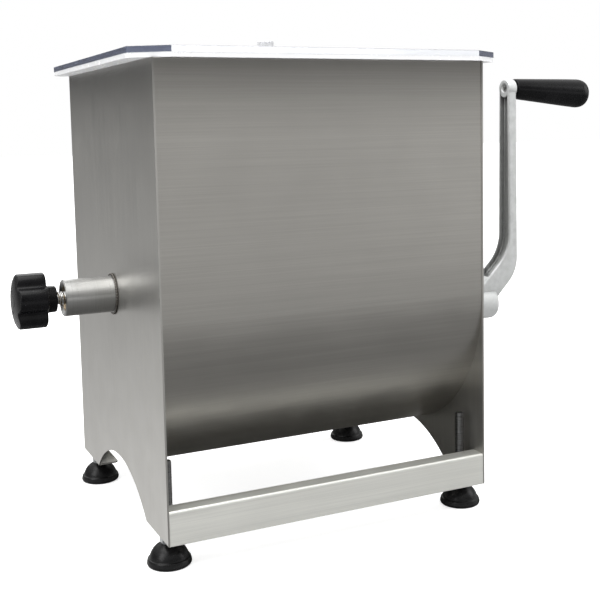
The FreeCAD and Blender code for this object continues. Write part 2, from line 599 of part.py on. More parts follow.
bossc = rev_x([(276.3, 0), (276.3, 8.6), (277.2, BOSS_R), (286.2, BOSS_R), (287.1, 8.6), (287.1, 0)],
              0, Z_GRIP)
crank = arm.fuse(hubc).fuse(bossc).removeSplitter()
crank = crank.cut(cx(CSHAFT_R, HUB_X0 - 1, HUB_X1 + 1, 0, ZC))
crank = crank.cut(tilt(cx(4.0, 265, 295, 0, Z_GRIP)))
crank = crank.cut(tilt(rev_x([(274.0, 0), (274.0, 7.4), (277.6, 4.0), (277.6, 0)], 0, Z_GRIP)))
crank = crank.cut(cz(4.0, ZC - 20, ZC - 4, 246.0, 0))
out("crank_arm", crank)
gs = cz(4.0, ZC - 16.6, ZC - 8.05, 246.0, 0).cut(hex_z(4.0, ZC - 17, ZC - 13.5, 246.0, 0))
out("crank_set_screw", gs)

# ------------------------------------------------------------------- the grip
ga = GRIP_CAP - 7.7                # inner face of the axle's head
axle = rev_x([(277.9, 0), (277.9, 4.0), (ga, 4.0), (ga, 7.0), (ga + 3.3, 7.0),
              (ga + 3.7, 6.6), (ga + 3.7, 0)], 0, Z_GRIP)
axle = axle.cut(hex_x(4.0, 277.0, 281.0, 0, Z_GRIP)).cut(hex_x(5.0, ga + 1.2, ga + 5, 0, Z_GRIP))
out("grip_axle", tilt(axle))
gr = [(GRIP_X0, 4.1), (GRIP_X0, 9.6), (GRIP_X0 + 0.9, 10.5), (303.0, 11.4), (320.0, 12.4), (340.0, 13.6),
      (357.0, 14.6), (GRIP_CAP, 15.3), (GRIP_CAP, 8.2), (GRIP_CAP - 8.0, 8.2), (GRIP_CAP - 8.0, 4.1)]
out("grip", tilt(rev_x(gr, 0, Z_GRIP)))
out("grip_cap", tilt(rev_x(CAP, 0, Z_GRIP)))


# -------------------------------------------------------------------- the lid
def lid_outline(x, y, cx_, cy_, z, rear=LID_REAR, m=LID_XM):
    """Front corners cut off cx_ by cy_, rear corners only a little."""
    return [(m - x + cx_, -y, z), (m + x - cx_, -y, z), (m + x, -y + cy_, z), (m + x, y - rear, z),
            (m + x - rear, y, z), (m - x + rear, y, z), (m - x, y - rear, z), (m - x, -y + cy_, z)]


zl = Z_TOP + RIM_T
panel = poly_face(lid_outline(LID_X, LID_Y, LID_CX, LID_CY, zl)).extrude(V(0, 0, LID_T))
panel = fillet(panel, 3.0, lambda e: e.BoundBox.ZLength > 4.9)
panel = fillet(panel, 0.5, lambda e: abs(e.BoundBox.ZMin - (zl + LID_T)) < 0.01)
panel = panel.cut(cz(2.6, zl - 1, zl + 6, LID_XM, 0))
out("lid_panel", panel)
rim = poly_face(lid_outline(LID_X - 0.4, LID_Y - 0.4, LID_CX, LID_CY, Z_TOP)).extrude(V(0, 0, RIM_T))
rim = fillet(rim, 3.0, lambda e: e.BoundBox.ZLength > 3.7)
rim = rim.cut(poly_face(lid_outline(136.0, 122.0, 8.0, 8.0, Z_TOP - 1, 8.0, 0.0)).extrude(V(0, 0, RIM_T + 2)))
out("lid_rim", rim)
strips = []
for s in (-1, 1):
    ya, yb = sorted((s * 122.5, s * 135.0))
    b = box(-90, 90, ya, yb, Z_TOP - 0.0 - 7.0, Z_TOP)
    strips.append(fillet(b, 3.0, lambda e: e.BoundBox.ZLength > 6.9))
out("lid_locating_strips", strips)
kz = zl + LID_T
# a straight clear knob with grip flutes
lk = rev_z([(0, kz), (7.2, kz), (7.7, kz + 0.5), (7.7, LID_KNOB_TOP - 1.0), (6.7, LID_KNOB_TOP), (0, LID_KNOB_TOP)])
for i in range(18):
    a = 2 * math.pi * i / 18
    lk = lk.cut(cz(0.75, kz + 1.6, LID_KNOB_TOP + 1, 8.15 * math.cos(a), 8.15 * math.sin(a)))
lk = lk.cut(cz(2.0, kz - 1, kz + 9))
lk.translate(V(LID_XM, 0, 0))
out("lid_knob", lk)
sc = rev_z([(0, zl - 2.4), (3.6, zl - 2.4), (4.2, zl - 1.6), (4.2, zl),
            (2.0, zl), (2.0, kz + 8.6), (0, kz + 8.6)])
sc.translate(V(LID_XM, 0, 0))
out("lid_knob_screw", sc)
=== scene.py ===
import bpy, bmesh, json, math
from mathutils import Matrix, Vector


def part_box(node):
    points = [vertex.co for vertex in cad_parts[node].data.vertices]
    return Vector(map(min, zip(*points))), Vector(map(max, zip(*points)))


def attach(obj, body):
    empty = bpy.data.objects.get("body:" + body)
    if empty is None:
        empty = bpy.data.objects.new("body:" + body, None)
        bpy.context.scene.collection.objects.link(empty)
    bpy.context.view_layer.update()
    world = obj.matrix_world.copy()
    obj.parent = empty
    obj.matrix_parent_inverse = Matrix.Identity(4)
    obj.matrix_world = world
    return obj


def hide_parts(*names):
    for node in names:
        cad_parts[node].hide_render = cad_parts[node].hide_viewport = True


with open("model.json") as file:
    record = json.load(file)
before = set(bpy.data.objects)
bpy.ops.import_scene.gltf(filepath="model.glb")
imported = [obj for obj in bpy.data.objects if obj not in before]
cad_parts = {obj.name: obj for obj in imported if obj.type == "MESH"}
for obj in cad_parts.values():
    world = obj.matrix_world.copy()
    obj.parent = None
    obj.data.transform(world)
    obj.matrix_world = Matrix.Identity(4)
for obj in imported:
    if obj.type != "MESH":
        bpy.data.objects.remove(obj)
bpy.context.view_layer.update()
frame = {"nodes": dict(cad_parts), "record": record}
NODES = frame["nodes"]
REC = frame["record"]
SLOT = {s["node"]: s["material_slot"] for s in REC["subparts"]}
BODY = {n: b for b, ns in REC["behaviour"]["bodies"].items() for n in ns}


def mid(node):
    lo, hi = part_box(node)
    return (lo + hi) / 2


# reference positions, all read from the frame
XC = mid("trough_wrapper").x                    # middle of the tank
PADDLE = Vector((XC, 0, mid("paddle_shaft").z))  # a point on the paddle axis
CRANKAX = Vector((XC, 0, mid("crank_shaft").z))
GRIPJ = [j for j in REC["behaviour"]["joints"] if j["name"] == "grip_spin"][0]
GRIP_P, GRIP_A = Vector(GRIPJ["pos_m"]), Vector(GRIPJ["axis"]).normalized()


# ------------------------------------------------------------------ materials
class Mat:
    """A small builder round one node material."""

    def __init__(self, name):
        self.m = bpy.data.materials.new(name)
        self.m.use_nodes = True
        self.nt = self.m.node_tree
        self.nt.nodes.clear()
        self.out = self.nt.nodes.new("ShaderNodeOutputMaterial")
        self.b = self.nt.nodes.new("ShaderNodeBsdfPrincipled")
        self.nt.links.new(self.b.outputs[0], self.out.inputs[0])
        self.tc = self.nt.nodes.new("ShaderNodeTexCoord")

    def set(self, **kw):
        for k, v in kw.items():
            self.b.inputs[k.replace("_", " ")].default_value = v
        return self

    def link(self, a, b):
        self.nt.links.new(a, b)

    def node(self, kind, **props):
        n = self.nt.nodes.new(kind)
        for k, v in props.items():
            setattr(n, k, v)
        return n

    def mapping(self, scale=(1, 1, 1), rot=(0, 0, 0), loc=(0, 0, 0), src=None):
        n = self.node("ShaderNodeMapping")
        n.inputs["Scale"].default_value = scale
        n.inputs["Rotation"].default_value = rot
        n.inputs["Location"].default_value = loc
        self.link(src or self.tc.outputs["Object"], n.inputs["Vector"])
        return n.outputs[0]

    def noise(self, vec, scale=1.0, detail=3.0, rough=0.55, dist=0.0):
        n = self.node("ShaderNodeTexNoise")
        n.inputs["Scale"].default_value = scale
        n.inputs["Detail"].default_value = detail
        n.inputs["Roughness"].default_value = rough
        n.inputs["Distortion"].default_value = dist
        self.link(vec, n.inputs["Vector"])
        return n.outputs["Fac"]

    def range(self, fac, a, b, lo=0.0, hi=1.0, clamp=True):
        n = self.node("ShaderNodeMapRange")
        n.clamp = clamp
        for i, v in enumerate((a, b, lo, hi)):
            n.inputs[1 + i].default_value = v
        self.link(fac, n.inputs[0])
        return n.outputs[0]

    def math(self, op, a, b=None, clamp=False):
        n = self.node("ShaderNodeMath", operation=op)
        n.use_clamp = clamp
        for i, v in enumerate((a, b)):
            if v is None:
                continue
            if isinstance(v, (int, float)):
                n.inputs[i].default_value = v
            else:
                self.link(v, n.inputs[i])
        return n.outputs[0]

    def mix(self, fac, a, b, blend="MIX"):
        n = self.node("ShaderNodeMix", data_type="RGBA", blend_type=blend)
        for s, v in ((0, fac), (6, a), (7, b)):
            if isinstance(v, (int, float)):
                n.inputs[s].default_value = v
            elif isinstance(v, tuple):
                n.inputs[s].default_value = v if len(v) == 4 else v + (1.0,)
            else:
                self.link(v, n.inputs[s])
        return n.outputs[2]

    def bump(self, height, strength=0.5, distance=0.0001, normal=None):
        n = self.node("ShaderNodeBump")
        n.inputs["Strength"].default_value = strength
        n.inputs["Distance"].default_value = distance
        self.link(height, n.inputs["Height"])
        if normal is not None:
            self.link(normal, n.inputs["Normal"])
        return n.outputs[0]


def brushed(name, grain, c0, c1, r0, r1, wave=1.0, aniso=0.6, top=(0.45, 0.62, 0.84), low=()):
    """Brushed stainless sheet; grain is the axis the scratches run along."""
    k = Mat(name).set(Metallic=1.0, Anisotropic=aniso)
    tg = k.node("ShaderNodeTangent", direction_type="RADIAL", axis=grain)
    k.link(tg.outputs[0], k.b.inputs["Tangent"])
    fine = [1400.0] * 3
    mid_ = [420.0] * 3
    fine["XYZ".index(grain)] = 9.0
    mid_["XYZ".index(grain)] = 3.0
    s1 = k.noise(k.mapping(tuple(fine)), detail=3, rough=0.6)
    s2 = k.noise(k.mapping(tuple(mid_)), detail=4, rough=0.6)
    s = k.math("ADD", k.math("MULTIPLY", s1, 0.6), k.math("MULTIPLY", s2, 0.4))
    cloud = k.noise(k.mapping((6, 6, 6)), detail=3, rough=0.5)
    handle = k.noise(k.mapping((28, 28, 28)), detail=5, rough=0.6, dist=0.4)
    col = k.mix(k.range(s, 0.36, 0.64), c0, c1)
    col = k.mix(k.range(cloud, 0.35, 0.7, 0.0, 0.3), col, tuple(x * 0.88 for x in c0))
    if top:
        # tone along the height: shading painted into the colour, not a real stain on the sheet
        sp = k.node("ShaderNodeSeparateXYZ")
        k.link(k.tc.outputs["Object"], sp.inputs[0])
        cr = k.node("ShaderNodeValToRGB")
        el = cr.color_ramp.elements
        lo, hi = (0.090 if low else 0.340), 0.408
        pts = list(low) + [(0.345, 1.0), (0.372, top[2]), (0.390, top[1]), (0.4050, top[0])]
        el[0].position, el[1].position = (pts[0][0] - lo) / (hi - lo), (pts[-1][0] - lo) / (hi - lo)
        el[0].color, el[1].color = (pts[0][1],) * 3 + (1,), (pts[-1][1],) * 3 + (1,)
        for z, v in pts[1:-1]:
            e = el.new((z - lo) / (hi - lo))
            e.color = (v, v, v, 1)
        k.link(k.range(sp.outputs["Z"], lo, hi), cr.inputs[0])
        col = k.mix(1.0, col, cr.outputs[0], "MULTIPLY")
    k.link(col, k.b.inputs["Base Color"])
    ro = k.math("ADD", k.range(s, 0.34, 0.66, r0, r1), k.range(handle, 0.4, 0.75, -0.02, 0.05))
    k.link(ro, k.b.inputs["Roughness"])
    n = k.bump(cloud, 0.35 * wave, 0.004)
    n = k.bump(s, 0.08, 0.00005, n)
    k.link(n, k.b.inputs["Normal"])
    return k.m


def turned(name, c0, c1, r0, r1, axis="X", rings=1.0):
    """Turned steel: fine rings across the axis of the part."""
    k = Mat(name).set(Metallic=1.0)
    sc = [6.0] * 3
    sc["XYZ".index(axis)] = 1900.0
    s1 = k.noise(k.mapping(tuple(sc)), detail=3, rough=0.65)
    blot = k.noise(k.mapping((60, 60, 60)), detail=4, rough=0.55)
    col = k.mix(k.range(s1, 0.35, 0.65), c0, c1)
    k.link(k.mix(k.range(blot, 0.4, 0.8, 0.0, 0.3), col, tuple(x * 0.82 for x in c0)), k.b.inputs["Base Color"])
    k.link(k.math("ADD", k.range(s1, 0.3, 0.7, r0, r1), k.range(blot, 0.4, 0.8, 0.0, 0.05)),
           k.b.inputs["Roughness"])
    k.link(k.bump(s1, 0.16 * rings, 0.00005), k.b.inputs["Normal"])
    return k.m


def cast(name, c0, c1, r0, r1, metal=1.0, grain=0.3):
    """Bead-blasted and tumbled casting."""
    k = Mat(name).set(Metallic=metal)
    g = k.noise(k.mapping((900, 900, 900)), detail=4, rough=0.6)
    p = k.noise(k.mapping((160, 160, 160)), detail=4, rough=0.55)
    cl = k.noise(k.mapping((22, 22, 22)), detail=3)
    col = k.mix(k.range(p, 0.35, 0.7), c0, c1)
    col = k.mix(k.range(cl, 0.45, 0.75, 0.0, 0.25), col, tuple(x * 0.85 for x in c0))
    geo = k.node("ShaderNodeNewGeometry")
    wear = k.range(geo.outputs["Pointiness"], 0.505, 0.56, 0.0, 0.35)
    col = k.mix(wear, col, tuple(min(1.0, x * 1.12) for x in c1))
    # painted shade: recesses found by ambient occlusion are darkened, broken up by streaky noise
    ao = k.node("ShaderNodeAmbientOcclusion", samples=6)
    ao.inputs["Distance"].default_value = 0.011
    lines = k.noise(k.mapping((330, 330, 3)), detail=2)
    painted_recess_shade = k.math("MULTIPLY", k.range(ao.outputs["AO"], 0.93, 0.62), k.range(lines, 0.36, 0.6, 0.55, 1.0))
    col = k.mix(painted_recess_shade, col, (0.10, 0.10, 0.097))
    k.link(col, k.b.inputs["Base Color"])
    k.link(k.math("ADD", k.range(g, 0.3, 0.7, r0, r1), k.range(cl, 0.4, 0.7, 0, 0.06)), k.b.inputs["Roughness"])
    n = k.bump(p, grain, 0.00022)
    n = k.bump(g, grain, 0.00006, n)
    k.link(n, k.b.inputs["Normal"])
    return k.m


def plastic(name, c0, c1, r0, r1, bump=0.12, coat=0.0, spec=0.5):
    k = Mat(name).set(Metallic=0.0, Coat_Weight=coat, Coat_Roughness=0.18, Specular_IOR_Level=spec)
    f = k.noise(k.mapping((700, 700, 700)), detail=3, rough=0.5)
    cl = k.noise(k.mapping((45, 45, 45)), detail=5, rough=0.6, dist=0.5)
    k.link(k.mix(k.range(cl, 0.35, 0.7), c0, c1), k.b.inputs["Base Color"])
    k.link(k.math("ADD", k.range(f, 0.3, 0.7, r0, r1), k.range(cl, 0.45, 0.75, 0, 0.07)), k.b.inputs["Roughness"])
    n = k.bump(cl, bump, 0.0003)
    n = k.bump(f, bump, 0.00006, n)
    k.link(n, k.b.inputs["Normal"])
    return k.m


def rubber(name):
    k = Mat(name).set(Metallic=0.0, Specular_IOR_Level=0.26)
    f = k.noise(k.mapping((1100, 1100, 1100)), detail=3)
    cl = k.noise(k.mapping((70, 70, 70)), detail=4, rough=0.6)
    k.link(k.mix(k.range(cl, 0.35, 0.7), (0.003, 0.003, 0.0032), (0.007, 0.007, 0.0073)), k.b.inputs["Base Color"])
    k.link(k.range(f, 0.3, 0.7, 0.24, 0.36), k.b.inputs["Roughness"])
    n = k.bump(cl, 0.15, 0.0003)
    k.link(k.bump(f, 0.2, 0.00008, n), k.b.inputs["Normal"])
    return k.m


def clear(name, c0, c1, trans, r0, r1, painted_end_shade=None):
    """Clear acrylic with a little haze and fine handling marks; the faces turned along X get a painted dark blue
    shade.
    """
    k = Mat(name).set(Metallic=0.0, Transmission_Weight=trans, IOR=1.49, Specular_IOR_Level=0.5)
    cl = k.noise(k.mapping((30, 30, 30)), detail=5, rough=0.6)
    f = k.noise(k.mapping((500, 500, 500)), detail=3)
    col = k.mix(k.range(cl, 0.3, 0.7), c0, c1)
    # painted shade: faces turned along X are mixed towards a dark blue colour
    if painted_end_shade:
        geo = k.node("ShaderNodeNewGeometry")
        sp = k.node("ShaderNodeSeparateXYZ")
        k.link(geo.outputs["True Normal"], sp.inputs[0])
        e = k.range(k.math("ABSOLUTE", sp.outputs["X"]), 0.3, 0.5)
        col = k.mix(e, col, k.mix(k.range(cl, 0.3, 0.7), painted_end_shade, tuple(x * 1.25 for x in painted_end_shade)))
        k.link(k.range(k.math("ABSOLUTE", sp.outputs["Z"]), 0.3, 0.7, 0.40, trans), k.b.inputs["Transmission Weight"])
    k.link(col, k.b.inputs["Base Color"])
    k.link(k.math("ADD", k.range(f, 0.3, 0.7, r0, r1), k.range(cl, 0.5, 0.8, 0, 0.05)), k.b.inputs["Roughness"])
    k.link(k.bump(cl, 0.05, 0.0006), k.b.inputs["Normal"])
    return k.m


MAT = {
    "sheet_x": brushed("sheet_x", "X", (0.49, 0.475, 0.445), (0.56, 0.545, 0.51), 0.31, 0.41,
                       low=((0.125, 1.0), (0.140, 0.95), (0.155, 0.80), (0.168, 0.75), (0.182, 0.77), (0.198, 0.83),
                            (0.213, 0.89), (0.241, 0.97), (0.262, 1.0))),
    "sheet_z": brushed("sheet_z", "Z", (0.51, 0.50, 0.475), (0.58, 0.57, 0.54), 0.33, 0.43, 1.0, 0.3),
    "sheet_rail": brushed("sheet_rail", "X", (0.80, 0.80, 0.755), (0.90, 0.90, 0.85), 0.42, 0.55, 0.6, 0.3, None),
    "paddle_x": brushed("paddle_x", "Z", (0.52, 0.515, 0.50), (0.66, 0.655, 0.64), 0.22, 0.36, 0.4, 0.3, None),
    "turned_steel": turned("turned_steel", (0.60, 0.60, 0.585), (0.74, 0.74, 0.725), 0.16, 0.26),
    # painted shade: the studs' steel is darkened for the shade under the tank
    "stud_painted_shade": turned("stud_painted_shade", (0.10, 0.10, 0.10), (0.20, 0.20, 0.20), 0.26, 0.40, "Z", 0.6),
    "weld": turned("weld", (0.09, 0.083, 0.075), (0.20, 0.185, 0.165), 0.34, 0.5, "Z", 0.4),
    "tube_satin": turned("tube_satin", (0.44, 0.44, 0.43), (0.55, 0.55, 0.54), 0.26, 0.36),
    "zinc_hardware": turned("zinc_hardware", (0.34, 0.35, 0.355), (0.48, 0.49, 0.495), 0.22, 0.36, "Z", 0.6),
    "gear_steel": turned("gear_steel", (0.26, 0.26, 0.27), (0.40, 0.40, 0.41), 0.24, 0.38),
    "cast_aluminium": cast("cast_aluminium", (0.58, 0.59, 0.585), (0.68, 0.69, 0.685), 0.50, 0.64, 0.75, 0.28),
    "brass": turned("brass", (0.52, 0.36, 0.17), (0.68, 0.50, 0.27), 0.22, 0.34),
    "white_polymer": plastic("white_polymer", (0.78, 0.78, 0.74), (0.86, 0.86, 0.83), 0.34, 0.46, 0.1),
    "black_plastic": plastic("black_plastic", (0.002, 0.002, 0.0024), (0.005, 0.005, 0.0055), 0.20, 0.30, 0.10, 0.0, 0.16),
    "rubber": rubber("rubber"),
    # clear_plastic: the last colour is the painted dark blue shade on the lid's ends
    "clear_plastic": clear("clear_plastic", (0.90, 0.92, 0.96), (0.94, 0.955, 0.985), 0.80, 0.03, 0.08, (0.07, 0.08, 0.12)),
    "clear_rim": clear("clear_rim", (0.93, 0.935, 0.95), (0.97, 0.97, 0.98), 0.35, 0.16, 0.28),
}
SLOT_MAT = {"tank_sheet": "sheet_x"}
NODE_MAT = {"left_end_panel": "sheet_z", "right_end_panel": "sheet_z", "front_rail": "sheet_rail",
            "rear_rail": "sheet_rail", "paddle_arms": "paddle_x", "paddle_blades": "paddle_x",
            "left_bearing_tube": "tube_satin", "lid_rim": "clear_rim", "lid_locating_strips": "clear_rim",
            "lid_knob": "clear_rim"}


def mat_of(node):
    return MAT[NODE_MAT.get(node, SLOT_MAT.get(SLOT[node], SLOT[node]))]


MAT["sheet_rail"].node_tree.nodes["Principled BSDF"].inputs["Metallic"].default_value = 0.87

for n, o in NODES.items():
    for s in o.material_slots:
        s.material = mat_of(n)


# ------------------------------------------------------------- mesh utilities
def mesh_obj(name, verts, faces, sharp=35.0):
    me = bpy.data.meshes.new(name)
    me.from_pydata([tuple(v) for v in verts], [], faces)
    me.validate()
    me.update()
    for p in me.polygons:
        p.use_smooth = True
    me.set_sharp_from_angle(angle=math.radians(sharp))
    o = bpy.data.objects.new(name, me)
    bpy.context.scene.collection.objects.link(o)
    return o


def piece(o, like, mat=None, replace=True, body=None):
    """Finish a piece that stands for, or belongs with, a CAD node."""
    o.data.materials.clear()
    o.data.materials.append(mat or mat_of(like))
    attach(o, body or BODY[like])
    if replace:
        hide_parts(like)
    return o


def frame_axis(origin, axis):
    """Columns: axis, then the two directions the angle is measured in."""
    if axis == "X":
        return origin, Vector((1, 0, 0)), Vector((0, 1, 0)), Vector((0, 0, 1))
    return origin, Vector((0, 0, 1)), Vector((1, 0, 0)), Vector((0, 1, 0))


def rings_mesh(name, rings, origin, axis, seg=96, close=(True, True), sharp=35.0):
    """rings = [(t, r)] or [(t, f(angle))]; t along the axis from origin."""
    og, A, U, Vv = frame_axis(origin, axis)
    verts, faces, rows = [], [], []
    for t, r in rings:
        if not callable(r) and r <= 1e-9:
            rows.append([len(verts)])
            verts.append(og + A * t)
            continue
        row = []
        for j in range(seg):
            a = 2 * math.pi * j / seg
            if callable(r):
                rr = r(a)
                rr, tt = rr if isinstance(rr, tuple) else (rr, 0.0)
            else:
                rr, tt = r, 0.0
            row.append(len(verts))
            verts.append(og + A * (t + tt) + (U * math.cos(a) + Vv * math.sin(a)) * rr)
        rows.append(row)
    for r0, r1 in zip(rows, rows[1:]):
        if len(r0) == 1 and len(r1) == 1:
            continue
        for j in range(seg):
            k = (j + 1) % seg
            if len(r0) == 1:
                faces.append((r0[0], r1[k], r1[j]))
            elif len(r1) == 1:
                faces.append((r0[j], r0[k], r1[0]))
            else:
                faces.append((r0[j], r0[k], r1[k], r1[j]))
    for flag, row in zip(close, (rows[0], rows[-1])):
        if flag and len(row) > 1:
            faces.append(tuple(row))
    o = mesh_obj(name, verts, faces, sharp)
    bm = bmesh.new()
    bm.from_mesh(o.data)
    bmesh.ops.recalc_face_normals(bm, faces=bm.faces)
    bm.to_mesh(o.data)
    bm.free()
    return o


def rounded(pts, rad=0.0006, n=4):
    """Rounds the corners of an open (t, r) profile with n-segment fillets."""
    out = [pts[0]]
    for i in range(1, len(pts) - 1):
        p = Vector(pts[i])
        a = Vector(pts[i - 1]) - p
        b = Vector(pts[i + 1]) - p
        d = min(rad, a.length * 0.45, b.length * 0.45)
        if a.length < 1e-9 or b.length < 1e-9 or d < 1e-7:
            out.append(tuple(p))
            continue
        pa, pb = p + a.normalized() * d, p + b.normalized() * d
        for k in range(n + 1):
            t = k / n
            q = pa * (1 - t) ** 2 + p * 2 * t * (1 - t) + pb * t * t
            out.append(tuple(q))
    out.append(pts[-1])
    return out


def clean_copy(node, name=None, merge=2e-6, flat=0.3):
    """A welded copy of a CAD node's mesh, coplanar faces joined."""
    src = NODES[node].data
    bm = bmesh.new()
    bm.from_mesh(src)
    bmesh.ops.remove_doubles(bm, verts=bm.verts, dist=merge)
    bmesh.ops.dissolve_degenerate(bm, edges=bm.edges, dist=1e-7)
    bmesh.ops.dissolve_limit(bm, angle_limit=math.radians(flat), use_dissolve_boundaries=False,
                             verts=bm.verts, edges=bm.edges)
    bmesh.ops.recalc_face_normals(bm, faces=bm.faces)
    verts = [v.co.copy() for v in bm.verts]
    bm.verts.index_update()
    faces = [tuple(v.index for v in f.verts) for f in bm.faces]
    bm.free()
    return mesh_obj(name or node + "_skin", verts, faces, 30.0)


def bevelled(node, width=0.0004, seg=2, angle=30.0, mat=None):
    o = clean_copy(node)
    b = o.modifiers.new("edge", "BEVEL")
    b.width = width
    b.segments = seg
    b.limit_method = "ANGLE"
    b.angle_limit = math.radians(angle)
    b.harden_normals = True
    b.use_clamp_overlap = True
    b.miter_outer = "MITER_ARC"
    w = o.modifiers.new("shade", "WEIGHTED_NORMAL")
    w.keep_sharp = True
    return piece(o, node, mat)


# ------------------------------------------------------------- sheet pieces
for n, w in (("left_end_panel", 0.0004), ("right_end_panel", 0.0004), ("front_rail", 0.0003),
             ("rear_rail", 0.0003)):
    bevelled(n, w)

# ---------------------------------------------------------------- star knob
klo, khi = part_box("star_knob")
hub_x1 = khi.x
ins_lo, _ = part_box("knob_insert")
K0 = klo.x                        # front of the dome
HEAD = 0.0275
KB = K0 + HEAD                    # back face of the head
kr = 0.0242


def lobe(a, off=0.0, keep=1.0):
    c = math.cos(5 * (a - math.radians(98)))
    r = kr - 0.0050 * ((1 - c) / 2.0) ** 2.6
    base = 0.0205
    return (base + (r - base) * keep) - off


def dome_x(r):
    """Depth of the domed front at radius r."""
    t = min(1.0, r / 0.0246)
    return 0.0064 * (1 - math.sqrt(max(0.0, 1 - t ** 2.2)))


og = Vector((0, 0, PADDLE.z))
rings = [(K0, 0.0)]
for f in (0.12, 0.26, 0.365, 0.375, 0.385, 0.40, 0.41, 0.42, 0.52, 0.64, 0.74, 0.82, 0.88, 0.92):
    groove = 0.00035 if 0.372 < f < 0.412 else 0.0

    def ring(a, f=f, g=groove):
        r = lobe(a, 0.0, 1.0) * f
        return r, dome_x(r) + g
    rings.append((K0, ring))
# rounded rim from the dome into the lobed side
RIM = 0.0022
for i in range(1, 8):
    a1 = math.radians(90 * i / 7)

    def ring(a, a1=a1):
        R = lobe(a)
        r = R - RIM + RIM * math.sin(a1)
        x0 = dome_x(R - RIM)
        return r, x0 + RIM * (1 - math.cos(a1)) * 0.9
    rings.append((K0, ring))
for t in (0.35, 0.65):
    rings.append((K0, lambda a, t=t: (lobe(a), (dome_x(lobe(a) - RIM) + RIM * 0.9) * (1 - t) + (HEAD - 0.0016) * t)))
for i in range(0, 6):
    a1 = math.radians(90 * i / 5)
    rings.append((KB, lambda a, a1=a1: (lobe(a) - 0.0016 * (1 - math.cos(a1)), -0.0016 * (1 - math.sin(a1)))))
rings.append((KB, lambda a: lobe(a) * 0.8))
rings.append((KB, 0.0141))
for i in range(0, 6):
    a1 = math.radians(90 * i / 5)
    rings.append((KB + 0.0022 * math.sin(a1) * 0 + 0.0022 * (1 - math.cos(a1)), 0.0118 + 0.0022 * (1 - math.sin(a1))))
rings += [(hub_x1 - 0.0012, 0.0114)]
for i in range(1, 5):
    a1 = math.radians(90 * i / 4)
    rings.append((hub_x1 - 0.0010 + 0.0010 * math.sin(a1), 0.0104 + 0.0010 * math.cos(a1)))
rings += [(hub_x1, 0.0088), (hub_x1, 0.0081), (hub_x1 - 0.0010, 0.0080), (ins_lo.x - 0.0, 0.0080), (ins_lo.x, 0.0)]
knob = rings_mesh("star_knob_moulding", rings, og, "X", seg=240, close=(False, False), sharp=50)
piece(knob, "star_knob")

# --------------------------------------------------------------- crank grip
GT = Vector((1, 0, 0)).rotation_difference(GRIP_A).to_matrix().to_4x4()
GT = Matrix.Translation(GRIP_P) @ GT


def along_grip(o):
    """Pieces drawn along X from the crossing point are turned to the grip axis."""
    o.data.transform(GT)
    return o


og = Vector((0, 0, 0))
g0, g1, g2 = 0.006, 0.089, 0.100
prof = [(g0 + 0.02, 0.0041), (g0, 0.0041), (g0, 0.0072), (g0 + 0.0001, 0.0096), (g0 + 0.0009, 0.0105)]
for t, r in ((0.004, 0.01074), (0.009, 0.01104), (0.015, 0.0114), (0.024, 0.01194), (0.032, 0.0124), (0.042, 0.01301),
             (0.052, 0.0136), (0.060, 0.01408), (0.069, 0.0146), (0.076, 0.01495), (0.080, 0.01515)):
    prof.append((g0 + t, r))
prof += [(g1 - 0.0004, 0.0153), (g1, 0.01515), (g1, 0.0082), (g1 - 0.006, 0.0082)]
grip = rings_mesh("grip_body", rounded(prof, 0.0004, 3), og, "X", seg=96, close=(False, False), sharp=40)
piece(along_grip(grip), "grip")
L = g2 - g1
prof = [(g1, 0.0), (g1, 0.01515), (g1 + 0.0003, 0.0153)]
for i in range(1, 25):
    a = math.radians(90 * i / 24)
    prof.append((g1 + 0.0003 + (L - 0.0003) * math.sin(a), 0.0153 * max(0.0, math.cos(a)) ** 0.30 if i < 24 else 0.0))
cap = rings_mesh("grip_end", prof, og, "X", seg=96, close=(False, False), sharp=50)
piece(along_grip(cap), "grip_cap")


# --------------------------------------------------------------------- feet
def fillet_profile(pts, rads, n=6):
    out = [pts[0]]
    for i in range(1, len(pts) - 1):
        p, a, b = Vector(pts[i]), Vector(pts[i - 1]), Vector(pts[i + 1])
        da, db = a - p, b - p
        d = min(rads[i], da.length * 0.48, db.length * 0.48)
        if d <= 0:
            out.append(tuple(p))
            continue
        pa, pb = p + da.normalized() * d, p + db.normalized() * d
        for k in range(n + 1):
            t = k / n
            out.append(tuple(pa * (1 - t) ** 2 + p * 2 * t * (1 - t) + pb * t * t))
    out.append(pts[-1])
    return out


# flared skirt, a small step, then the dome round the stud
FOOT = [(0.0, 0.0), (0.0, 0.0168), (0.0007, 0.0178), (0.0022, 0.0185), (0.0052, 0.0178), (0.0062, 0.0173),
        (0.0065, 0.0163), (0.0078, 0.0160), (0.0098, 0.0152), (0.0117, 0.0142), (0.0134, 0.0130),
        (0.0149, 0.0116), (0.0161, 0.0101), (0.0170, 0.0087), (0.0179, 0.0074), (0.01835, 0.0065),
        (0.0185, 0.0056), (0.0185, 0.0041), (0.0160, 0.0041)]
FRAD = [0, 0.0005, 0.0008, 0.0010, 0.0008, 0.0004, 0.0004] + [0.0008] * 9 + [0.0004, 0.0003, 0]
for n in ("front_left_foot", "front_right_foot", "rear_left_foot", "rear_right_foot"):
    c = mid(n)
    o = rings_mesh(n + "_moulding", fillet_profile(FOOT, FRAD), Vector((c.x, c.y, 0)), "Z", seg=72,
                   close=(False, False), sharp=45)
    piece(o, n)


